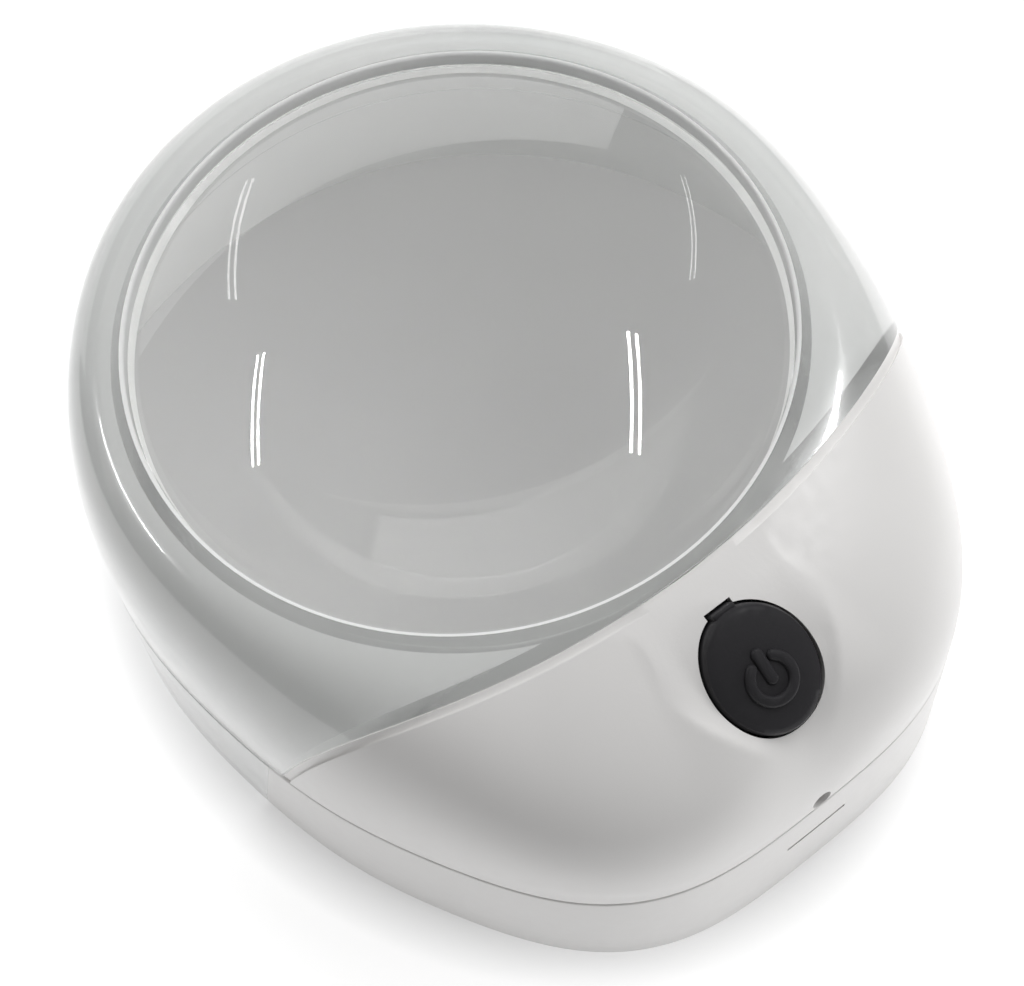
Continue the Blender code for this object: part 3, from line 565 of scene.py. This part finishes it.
# ---- material helpers ----------------------------------------------------------------------------
class Nodes:
    """Short way to build a material's node tree."""

    def __init__(self, name):
        self.material = bpy.data.materials.new(name)
        self.material.use_nodes = True
        self.tree = self.material.node_tree
        self.shader = self.tree.nodes["Principled BSDF"]
        self.output = self.tree.nodes["Material Output"]

    def add(self, kind, **values):
        node = self.tree.nodes.new(kind)
        for key, value in values.items():
            if key in node.inputs:
                node.inputs[key].default_value = value
            else:
                setattr(node, key, value)
        return node

    def link(self, source, target):
        self.tree.links.new(source, target)

    def set(self, **values):
        for key, value in values.items():
            self.shader.inputs[key.replace("_", " ")].default_value = value

    def coordinates(self, scale=(1, 1, 1)):
        place = self.add("ShaderNodeTexCoord")
        mapping = self.add("ShaderNodeMapping")
        mapping.inputs["Scale"].default_value = scale
        self.link(place.outputs["Object"], mapping.inputs["Vector"])
        return mapping.outputs["Vector"]

    def noise(self, scale, detail=3.0, stretch=(1, 1, 1)):
        node = self.add("ShaderNodeTexNoise", Scale=scale, Detail=detail)
        self.link(self.coordinates(stretch), node.inputs["Vector"])
        return node.outputs["Fac"]

    def ramp(self, source, low, high, start=0.3, stop=0.7):
        """Map a 0 to 1 value to a number range."""
        node = self.add("ShaderNodeMapRange")
        node.inputs["From Min"].default_value = start
        node.inputs["From Max"].default_value = stop
        node.inputs["To Min"].default_value = low
        node.inputs["To Max"].default_value = high
        self.link(source, node.inputs["Value"])
        return node.outputs["Result"]

    def tint(self, source, low, high):
        """Mix two colours by a 0 to 1 value."""
        node = self.add("ShaderNodeMix", data_type="RGBA")
        node.inputs["A"].default_value = tuple(low) + (1,)
        node.inputs["B"].default_value = tuple(high) + (1,)
        self.link(source, node.inputs["Factor"])
        return node.outputs["Result"]

    def bump(self, source, strength, distance):
        node = self.add("ShaderNodeBump", Strength=strength, Distance=distance)
        self.link(source, node.inputs["Height"])
        self.link(node.outputs["Normal"], self.shader.inputs["Normal"])
        return node

    def lets_lamps_through(self, colour):
        """Shadow rays pass with a tint, so that what is inside and below is lit."""
        path = self.add("ShaderNodeLightPath")
        clear = self.add("ShaderNodeBsdfTransparent")
        clear.inputs["Color"].default_value = tuple(colour) + (1,)
        mix = self.add("ShaderNodeMixShader")
        self.link(path.outputs["Is Shadow Ray"], mix.inputs["Fac"])
        self.link(self.shader.outputs["BSDF"], mix.inputs[1])
        self.link(clear.outputs["BSDF"], mix.inputs[2])
        self.link(mix.outputs["Shader"], self.output.inputs["Surface"])


def plain_material(name, colour, roughness, spread=0.08, metallic=0.0, grain=900.0, bump=0.05, tint=0.06):
    """Moulded or metal surface with a little colour variation, uneven gloss and fine grain."""
    nodes = Nodes(name)
    nodes.set(Metallic=metallic)
    cloud = nodes.noise(60.0)
    darker = [c * (1 - tint) for c in colour]
    nodes.link(nodes.tint(nodes.ramp(cloud, 0, 1), darker, colour), nodes.shader.inputs["Base Color"])
    gloss = nodes.noise(grain / 4)
    nodes.link(nodes.ramp(gloss, roughness - spread, roughness + spread), nodes.shader.inputs["Roughness"])
    if bump:
        nodes.bump(nodes.noise(grain, 4.0), bump, 0.0001)
    return nodes


def white_plastic():
    nodes = plain_material("white_plastic", (0.79, 0.78, 0.77), 0.36, 0.05,
                           grain=2600.0, bump=0.06, tint=0.015)
    nodes.set(IOR=1.5)
    return nodes.material


def black_rubber():
    nodes = plain_material("black_rubber", (0.022, 0.021, 0.024), 0.55, 0.08,
                           grain=3200.0, bump=0.12, tint=0.25)
    nodes.shader.inputs["Specular IOR Level"].default_value = 0.45
    return nodes.material


def lens_acrylic():
    """Clear lens with a few faint rub marks."""
    nodes = Nodes("lens_acrylic")
    nodes.set(Transmission_Weight=1.0, IOR=1.49)
    nodes.shader.inputs["Base Color"].default_value = (0.98, 0.98, 0.972, 1)
    rubs = nodes.noise(220.0, 5.0, (1, 6, 1))
    nodes.link(nodes.ramp(rubs, 0.0, 0.035, 0.62, 0.8), nodes.shader.inputs["Roughness"])
    nodes.lets_lamps_through((0.72, 0.72, 0.72))
    return nodes.material


def clear_acrylic(name, roughness, milk, shadow, pale):
    """Clear moulding with a slight milkiness, which lets shadow rays through so that the inside is lit."""
    nodes = Nodes(name)
    nodes.set(Transmission_Weight=1.0 - milk, IOR=1.49, Coat_Weight=0.7, Coat_Roughness=0.06)
    cloud = nodes.noise(45.0)
    thin, thick = (pale - 0.03, pale - 0.022, pale - 0.028), (pale + 0.004, pale + 0.008, pale + 0.002)
    nodes.link(nodes.tint(nodes.ramp(cloud, 0, 1), thin, thick), nodes.shader.inputs["Base Color"])
    gloss = nodes.noise(300.0)
    nodes.link(nodes.ramp(gloss, roughness * 0.8, roughness * 1.2), nodes.shader.inputs["Roughness"])
    nodes.bump(nodes.noise(1800.0, 3.0), 0.03, 0.00005)
    nodes.lets_lamps_through((shadow, shadow, shadow))
    return nodes.material


def circuit_board():
    """Green board with fine copper lines under the mask."""
    nodes = plain_material("circuit_board", (0.03, 0.17, 0.07), 0.35, 0.06, grain=700.0, bump=0.05, tint=0.3)
    lines = nodes.add("ShaderNodeTexBrick", Scale=900.0)
    lines.inputs["Mortar Size"].default_value = 0.06
    lines.inputs["Color1"].default_value = (0.025, 0.15, 0.06, 1)
    lines.inputs["Color2"].default_value = (0.03, 0.18, 0.07, 1)
    lines.inputs["Mortar"].default_value = (0.07, 0.28, 0.11, 1)
    nodes.link(nodes.coordinates(), lines.inputs["Vector"])
    nodes.link(lines.outputs["Color"], nodes.shader.inputs["Base Color"])
    return nodes.material


def metal(name, colour, roughness, stretch):
    """Plated or brushed metal with fine lines along one direction."""
    nodes = plain_material(name, colour, roughness, 0.08, metallic=1.0, grain=1200.0, bump=0, tint=0.15)
    nodes.bump(nodes.noise(700.0, 4.0, stretch), 0.08, 0.0001)
    return nodes.material


def cell_jacket():
    """Glossy plain blue sleeve of a cell, with no lettering."""
    nodes = plain_material("cell_jacket", (0.05, 0.08, 0.28), 0.3, 0.06, grain=500.0, bump=0.03, tint=0.2)
    nodes.set(Coat_Weight=0.5, Coat_Roughness=0.1)
    return nodes.material


def moulded(name, colour, roughness, grain, bump, tint=0.06):
    """Plain finish for a small inner part."""
    return plain_material(name, colour, roughness, grain=grain, bump=bump, tint=tint).material


MATS = {
    "white": white_plastic(),
    "rubber": black_rubber(),
    "lens": lens_acrylic(),
    "polished": clear_acrylic("clear_polished", roughness=0.2, milk=0.25, shadow=0.85, pale=0.64),
    # partly a frosted inner finish, partly painted light: this copy of the acrylic is paler and milkier than
    # the outer one, so that the inner wall, which light reaches only through the lens, looks bright
    "frosted_painted_light": clear_acrylic("clear_frosted_painted_light", roughness=0.5, milk=0.85, shadow=0.9, pale=0.93),
    "screw": metal("screw_steel", (0.6, 0.6, 0.62), 0.32, (1, 1, 8)),
    "board": circuit_board(),
    "contact": metal("contact_nickel", (0.66, 0.64, 0.58), 0.28, (1, 6, 1)),
    "plunger": metal("switch_steel", (0.6, 0.6, 0.62), 0.3, (1, 1, 6)),
    "black": moulded("switch_black", (0.03, 0.03, 0.033), 0.45, 1500.0, 0.08, 0.2),
    "chip": moulded("chip_black", (0.02, 0.02, 0.022), 0.6, 2500.0, 0.1, 0.2),
    "capacitor": moulded("capacitor_body", (0.42, 0.3, 0.18), 0.4, 2000.0, 0.05),
    "led": moulded("led_white", (0.8, 0.68, 0.3), 0.35, 1800.0, 0.05, 0.1),
    "cell": cell_jacket(),
    "red": moulded("cable_red", (0.5, 0.025, 0.02), 0.4, 1500.0, 0.06, 0.15),
    "dark": moulded("cable_black", (0.02, 0.02, 0.02), 0.4, 1500.0, 0.06, 0.2),
}
INNER_FINISH = {
    "board": ("main_board", "led_board"),
    "contact": ("link_plate", "positive_plate", "negative_plate", "spring_lower", "spring_upper"),
    "plunger": ("switch_plunger",),
    "black": ("switch_body", "battery_cradle"),
    "chip": ("driver_chip", "boost_inductor"),
    "capacitor": ("capacitor_left", "capacitor_right"),
    "led": ("led_left", "led_right"),
    "cell": ("cell_lower", "cell_upper"),
    "screw": ("board_screw_left", "board_screw_right"),
    "red": ("battery_cable_red", "led_cable_red"),
    "dark": ("battery_cable_black", "led_cable_black"),
}


# ---- body pieces ---------------------------------------------------------------------------------
def clear_upper():
    # the inner faces take the paler, milkier copy with painted light
    out, inside = MATS["polished"], MATS["frosted_painted_light"]
    outside = upper_rings(0, SEAM_Z + GAP, RIM_Z, POCKET_R + RIM_EXTRA, SEAM_ROUND)
    ring = loft("clear_head_upper", outside, out)
    tail = split_zone("tail", UPPER_SPLIT, -1, SPLIT_GAP, inside)
    boolean(tail, "DIFFERENCE", tube("zone", TUBE_OUT, inside))
    hollow = loft("hollow", upper_rings(CLEAR_WALL, SEAM_Z - 2, RIM_Z - CLEAR_WALL, TUBE_OUT - 1), inside)
    face = split_zone("face", UPPER_SPLIT, -1, FACE_WALL, inside)
    boolean(hollow, "DIFFERENCE", tube("zone", TUBE_OUT, inside), face)
    boolean(ring, "DIFFERENCE", tail, hollow, bore(inside))
    finish_piece(ring, "housing", ["upper_ring"])


def clear_lower():
    # the inner faces take the paler, milkier copy with painted light
    out, inside = MATS["polished"], MATS["frosted_painted_light"]
    ring = loft("clear_head_lower", lower_rings(0, 0, SEAM_Z - GAP, FOOT_ROUND, SEAM_ROUND), out)
    tail = split_zone("tail", LOWER_SPLIT, -1, SPLIT_GAP, inside)
    boolean(tail, "DIFFERENCE", tube("zone", TUBE_OUT, inside))
    hollow = loft("hollow", lower_rings(CLEAR_WALL, FLOOR, SEAM_Z + 2), inside)
    face = split_zone("face", LOWER_SPLIT, -1, FACE_WALL, inside)
    boolean(hollow, "DIFFERENCE", tube("zone", TUBE_OUT, inside), face)
    boolean(ring, "DIFFERENCE", tail, hollow, bore(inside))
    finish_piece(ring, "housing", ["lower_ring"])


def lens_cap(curve, edge, side, count):
    sag = curve - math.sqrt(curve ** 2 - LENS_R ** 2)
    points = []
    for i in range(count + 1):
        r = LENS_R * i / count
        points.append((r, edge + side * (sag - curve + math.sqrt(curve ** 2 - r ** 2))))
    return points


def lens_piece():
    top = lens_cap(LENS_TOP_CURVE, LENS_EDGE_HIGH, 1, 28)
    bottom = lens_cap(LENS_BOTTOM_CURVE, LENS_EDGE_LOW, -1, 14)
    lens = turned("lens_dome", top + bottom[::-1], steps=192)
    finish_piece(lens, "housing", ["lens"], MATS["lens"])


def tail_cover():
    white = MATS["white"]
    outside = upper_rings(0, SEAM_Z + GAP, RIM_Z, POCKET_R + RIM_EXTRA, SEAM_ROUND)
    shell = loft("tail_cover", sink_recess(outside), white)
    lowered = upper_rings(CHAMFER_DEEP, SEAM_Z - 2, RIM_Z - CHAMFER_DEEP, POCKET_R, rows=INNER_ROWS)
    step = loft("step", lowered, white)
    band = split_zone("band", UPPER_SPLIT, -1, -CHAMFER_WIDE, white)
    boolean(band, "UNION", step)
    boolean(shell, "INTERSECT", band)
    hollow = upper_rings(WHITE_WALL, SEAM_Z - 2, RIM_Z - WHITE_WALL, TUBE_OUT - 1, rows=INNER_ROWS)
    inside = loft("inside", hollow, white)
    columns = screw_rods("column", COLUMN_R, SEAM_Z + COLUMN_GAP, RIM_Z + 5)
    boolean(inside, "DIFFERENCE", *columns, *board_rods("post", POST_R, BOARD_TOP + BOARD_REST, 6, 32))
    head = split_zone("head", UPPER_SPLIT, 1, -SPLIT_GAP, white)
    boolean(shell, "DIFFERENCE", inside, head, tube("around", TAIL_CLEAR_R, white))
    pilot = SCREW_R + HOLE_EASE
    boolean(shell, "DIFFERENCE", *screw_rods("pilot", pilot, SEAM_Z - 1, SCREW_TIP + 1, PILOT_STEPS))
    board_pilots = board_rods("board_pilot", pilot, BOARD_TOP - 1, BOARD_TOP + BOARD_PILOT_HIGH, PILOT_STEPS)
    boolean(shell, "DIFFERENCE", *board_pilots)
    stretch = Matrix.Diagonal((BUTTON_WIDE + BUTTON_GAP, BUTTON_LONG + BUTTON_GAP, 1, 1))
    hole = rod("button_hole", 1.0, -6, 6, button_matrix() @ stretch, 96, white)
    notch = block("notch", (-KEY_HALF_X - BUTTON_GAP, 0, FLANGE_TOP - BUTTON_GAP),
                  (KEY_HALF_X + BUTTON_GAP, BUTTON_LONG + KEY_REACH + BUTTON_GAP, 6),
                  button_matrix(), white)
    end_spot = at(0, -70, END_HOLE_Z) @ Matrix.Rotation(math.radians(-90), 4, AXIS_X)
    end_hole = rod("end_hole", END_HOLE_R, 0, 13, end_spot, 32, white)
    boolean(shell, "DIFFERENCE", hole, notch, end_hole)
    finish_piece(shell, "housing", ["top_cover"])


def tail_base():
    white = MATS["white"]
    shell = loft("tail_base", lower_rings(0, 0, SEAM_Z - GAP, FOOT_ROUND, SEAM_ROUND), white)
    inside = loft("inside", lower_rings(WHITE_WALL, FLOOR, SEAM_Z + 2), white)
    head = split_zone("head", LOWER_SPLIT, 1, -SPLIT_GAP, white)
    boolean(shell, "DIFFERENCE", inside, head, tube("around", TAIL_CLEAR_R, white))
    boolean(shell, "UNION", *screw_rods("column", COLUMN_R, FLOOR - 1, SEAM_Z - GAP))
    boolean(shell, "DIFFERENCE", *screw_holes())
    opening = prism("door_opening", door_outline(DOOR_GAP), -1, FLOOR + 1, at(0, 0), white)
    slot = block("slot", (-SLOT_HALF_X, -70, SLOT_Z - SLOT_HIGH / 2),
                 (SLOT_HALF_X, TONGUE_BACK_Y + 0.2, SLOT_Z + SLOT_HIGH / 2), material=white)
    boolean(shell, "DIFFERENCE", opening, slot)
    finish_piece(shell, "housing", ["base_cover"])


def screw_rods(name, radius, low, high, steps=32):
    """One rod on each case screw's axis."""
    return [rod(name + "_" + label, radius, low, high, at(x, y), steps, MATS["white"])
            for label, (x, y) in SCREW_SPOTS.items()]


def board_rods(name, radius, low, high, steps):
    """One rod on each board screw's axis, along the button's leaning axis."""
    rods = []
    for side, label in ((-1, "left"), (1, "right")):
        spot = button_matrix() @ Matrix.Translation(Vector((side * BOARD_SCREW_X, 0, 0)) * MM)
        rods.append(rod(name + "_" + label, radius, low, high, spot, steps, MATS["white"]))
    return rods


def screw_holes():
    """One cutter for each case screw: clearance, head pocket and a cone that bevels the underside."""
    wide = SCREW_HEAD_R + HOLE_EASE
    top = SCREW_HEAD_HIGH + 0.1
    narrow = SCREW_R + SCREW_CLEARANCE
    profile = [(0, SEAM_Z + 1), (narrow, SEAM_Z + 1), (narrow, top), (wide, top),
               (wide, POCKET_BEVEL), (wide + POCKET_BEVEL + 1, -1), (0, -1)]
    return [turned("hole_" + label, profile, MATS["white"], at(x, y), POCKET_STEPS)
            for label, (x, y) in SCREW_SPOTS.items()]


def door_outline(grow):
    """Outline of the battery door with its narrow latch end, grown by a gap."""
    x = DOOR_HALF_X + grow
    neck = TONGUE_HALF_X + grow
    back = DOOR_BACK_Y - grow
    end = TONGUE_BACK_Y - min(grow, 0.2)
    right = [(neck, end), (neck, back), (x - DOOR_CORNER[0], back), (x, back + DOOR_CORNER[1]),
             (x, DOOR_FRONT_Y + grow)]
    return right + [(-px, py) for px, py in reversed(right)]


def battery_door():
    """Door plate with soft edges, finger grooves and the springy latch tongue."""
    white = MATS["white"]
    door = prism("door_cover", door_outline(0), DOOR_LOW, DOOR_HIGH, at(0, 0), white)
    soften(door, DOOR_SOFT)
    half = TONGUE_HALF_X - TONGUE_INSET
    back = TONGUE_BACK_Y + TONGUE_INSET
    tongue = block("tongue", (-half, back, DOOR_HIGH - 1), (half, back + TONGUE_THICK, TONGUE_HIGH),
                   material=white)
    boolean(door, "UNION", soften(tongue, DOOR_SOFT))
    for i in range(GROOVE_COUNT):
        y = GROOVE_Y - GROOVE_STEP * i
        lying = at(0, y, DOOR_LOW) @ Matrix.Rotation(math.radians(90), 4, "Y")
        boolean(door, "DIFFERENCE", rod("groove", GROOVE_R, -GROOVE_HALF_X, GROOVE_HALF_X, lying, 24, white))
    finish_piece(door, "door", ["battery_door"])


def case_screws():
    """Cross-head screws with a thread below the head."""
    for label, (x, y) in SCREW_SPOTS.items():
        spot = at(x, y)
        low, high = SCREW_HEAD_LOW, SCREW_HEAD_HIGH
        profile = [(0, low), (SCREW_HEAD_R * 0.6, low), (SCREW_HEAD_R - 0.15, low + 0.08),
                   (SCREW_HEAD_R, low + 0.3), (SCREW_HEAD_R, high), (SCREW_R, high)]
        root = SCREW_R - THREAD_DEEP
        count = int((SCREW_TIP - high - 1) / SCREW_PITCH)
        for i in range(count):
            z = high + 0.5 + SCREW_PITCH * i
            profile += [(SCREW_R, z), (root, z + SCREW_PITCH * 0.35), (root, z + SCREW_PITCH * 0.65)]
        profile += [(SCREW_R, SCREW_TIP - 0.8), (0, SCREW_TIP)]
        screw = turned("case_screw_" + label, profile, MATS["screw"], spot, 32)
        for turn in (45, 135):
            turned_spot = spot @ Matrix.Rotation(math.radians(turn), 4, "Z")
            cross = block("cross", (-CROSS_LONG, -CROSS_HALF, low - 1),
                          (CROSS_LONG, CROSS_HALF, low + CROSS_DEEP), turned_spot, MATS["screw"])
            boolean(screw, "DIFFERENCE", cross)
        finish_piece(screw, "housing", ["screw_" + label])


def button_piece():
    edge = BUTTON_LONG
    profile = [(0, BUTTON_CROWN)]
    for i in range(1, 13):
        share = i / 12
        drop = math.sqrt(1 - (share * 0.96) ** 2)
        profile.append((edge * share * 0.96, BUTTON_EDGE + (BUTTON_CROWN - BUTTON_EDGE) * drop))
    profile += [(edge, BUTTON_EDGE - 0.35), (edge, FLANGE_TOP), (edge + FLANGE_REACH, FLANGE_TOP),
                (edge + FLANGE_REACH, FLANGE_LOW), (0, FLANGE_LOW)]
    stretch = Matrix.Diagonal((BUTTON_WIDE / BUTTON_LONG, 1, 1, 1))
    button = turned("rubber_button", profile, MATS["rubber"], button_matrix() @ stretch, 96)
    key = block("key", (-KEY_HALF_X, 0, FLANGE_TOP - KEY_SINK),
                (KEY_HALF_X, BUTTON_LONG + KEY_REACH, KEY_TOP), button_matrix(), MATS["rubber"])
    boolean(button, "UNION", soften(key, KEY_SOFT), *symbol_pieces())
    finish_piece(button, "button", ["power_button"], degrees=50)


def arc_points(centre, radius, start, stop, count):
    points = []
    for i in range(count + 1):
        angle = math.radians(start + (stop - start) * i / count)
        points.append((centre[0] + radius * math.cos(angle), centre[1] + radius * math.sin(angle)))
    return points


def ring_stroke(half):
    """Outline of the power sign's open ring at one half width, with round ends."""
    first, last = 90 + SYMBOL_OPENING, 450 - SYMBOL_OPENING
    start, end = arc_points((0, 0), SYMBOL_R, first, last, 1)
    outline = arc_points((0, 0), SYMBOL_R + half, first, last, 48)
    outline += arc_points(end, half, last + 20, last + 160, 8)
    outline += arc_points((0, 0), SYMBOL_R - half, last, first, 48)
    return outline + arc_points(start, half, first + 200, first + 340, 8)


def bar_stroke(half):
    reach = BAR_HALF
    return (arc_points((0, BAR_TOP - reach), half, 0, 180, 16)
            + arc_points((0, BAR_LOW + reach), half, 180, 360, 16))


def symbol_pieces():
    """Raised power sign with softly rounded strokes, sunk into the crown."""
    top = BUTTON_CROWN + SYMBOL_RISE
    spot = button_matrix() @ Matrix.Translation(Vector((0, SYMBOL_Y, 0)) * MM)
    pieces = []
    for name, stroke, half in (("ring", ring_stroke, SYMBOL_LINE / 2), ("bar", bar_stroke, BAR_HALF)):
        layers = [(top - 1.1, stroke(half))]
        for turn in (0, 20, 40, 60, 75):
            inset = SYMBOL_EDGE * (1 - math.cos(math.radians(turn)))
            layers.append((top - SYMBOL_EDGE * (1 - math.sin(math.radians(turn))), stroke(half - inset)))
        pieces.append(layered("symbol_" + name, layers, spot, MATS["rubber"]))
    return pieces


def paint_inner_nodes():
    """Give the CAD nodes that stay as they are their real finish."""
    for finish, names in INNER_FINISH.items():
        for name in names:
            mesh = frame["nodes"][name].data
            mesh.materials.clear()
            mesh.materials.append(MATS[finish])


# ---- floor, light, camera ------------------------------------------------------------------------
def make_floor():
    """Pale floor that glows outside the object's outline, so that it stays white round the shadow."""
    mesh = bpy.data.meshes.new("floor")
    half = FLOOR_HALF
    corners = [(-half, -half, 0), (half, -half, 0), (half, half, 0), (-half, half, 0)]
    mesh.from_pydata(corners, [], [(0, 1, 2, 3)])
    floor = new_object("floor", mesh)
    floor.location.z = -FLOOR_DROP
    nodes = plain_material("pale_floor", FLOOR_COLOUR, 0.7, 0.03, grain=200.0, bump=0.01, tint=0.01)
    nodes.shader.inputs["Specular IOR Level"].default_value = 0.1
    nodes.shader.inputs["Emission Color"].default_value = (1, 1, 1, 1)
    away = nodes.add("ShaderNodeVectorMath", operation="LENGTH")
    nodes.link(nodes.coordinates((1 / CAD_BOX[1][0], 1 / CAD_BOX[1][1], 0)), away.inputs[0])
    nodes.link(nodes.ramp(away.outputs["Value"], 0.0, FLOOR_GLOW, GLOW_FROM, GLOW_FULL),
               nodes.shader.inputs["Emission Strength"])
    mesh.materials.append(nodes.material)


def area_light(name, spot, size, energy, mirrored=False):
    """Rectangular lamp that faces the object; a mirrored one also shows in and through the clear parts."""
    data = bpy.data.lights.new(name, "AREA")
    data.shape = "RECTANGLE"
    data.size = size[0]
    data.size_y = size[1]
    data.energy = energy
    lamp = bpy.data.objects.new(name, data)
    bpy.context.scene.collection.objects.link(lamp)
    lamp.location = spot
    lamp.visible_glossy = mirrored
    lamp.visible_transmission = mirrored
    lamp.rotation_euler = (Vector((0, 0, 0.02)) - Vector(spot)).to_track_quat("-Z", "Y").to_euler()
    return lamp


def ceiling_tubes():
    """Two parallel pairs of tube lamps, which the lens mirrors as bright double lines."""
    across = Vector((TUBE_ALONG.y, -TUBE_ALONG.x, 0))
    for pair, middle in TUBE_PAIRS.items():
        for side in (-1, 1):
            spot = (middle + across * TUBE_SPACING / 2 * side) * CEILING + world(0, 0, 0)
            size = (TUBE_WIDTH * CEILING, TUBE_LENGTH * CEILING)
            lamp = area_light("tube_%s_%d" % (pair, side), spot, size, TUBE_POWER, True)
            lamp.rotation_euler = (0, 0, math.atan2(-TUBE_ALONG.x, TUBE_ALONG.y))


def make_lights():
    scene_world = bpy.data.worlds.new("studio")
    scene_world.use_nodes = True
    background = scene_world.node_tree.nodes["Background"]
    background.inputs["Color"].default_value = (1, 1, 1, 1)
    background.inputs["Strength"].default_value = WORLD_LIGHT
    bpy.context.scene.world = scene_world
    area_light("key", KEY_SPOT, (KEY_SIZE, KEY_SIZE), KEY_POWER)
    area_light("low_end", END_SPOT, (END_SIZE, END_SIZE), END_POWER)
    area_light("backdrop", BACK_SPOT, BACK_SIZE, BACK_POWER, True)
    ceiling_tubes()


def make_camera():
    data = bpy.data.cameras.new("camera")
    data.lens = CAMERA_LENS
    data.sensor_width = 36.0
    data.shift_x, data.shift_y = CAMERA_SHIFT
    data.clip_start = 0.01
    camera = bpy.data.objects.new("camera", data)
    bpy.context.scene.collection.objects.link(camera)
    raised, around = math.radians(CAMERA_ELEVATION), math.radians(CAMERA_AZIMUTH)
    flat = math.cos(raised)
    back = Vector((math.sin(around) * flat, -math.cos(around) * flat, math.sin(raised)))
    right = Vector((math.cos(around), math.sin(around), 0))
    turn = Matrix((right, back.cross(right), back)).transposed()
    turn = turn @ Matrix.Rotation(math.radians(CAMERA_ROLL), 3, "Z")
    camera.matrix_world = Matrix.Translation(world(0, 0, 0) + back * CAMERA_DISTANCE) @ turn.to_4x4()
    bpy.context.scene.camera = camera
    bpy.context.scene.view_settings.view_transform = "Standard"


make_camera()
make_floor()
make_lights()
clear_upper()
clear_lower()
lens_piece()
tail_cover()
tail_base()
button_piece()
battery_door()
case_screws()
paint_inner_nodes()
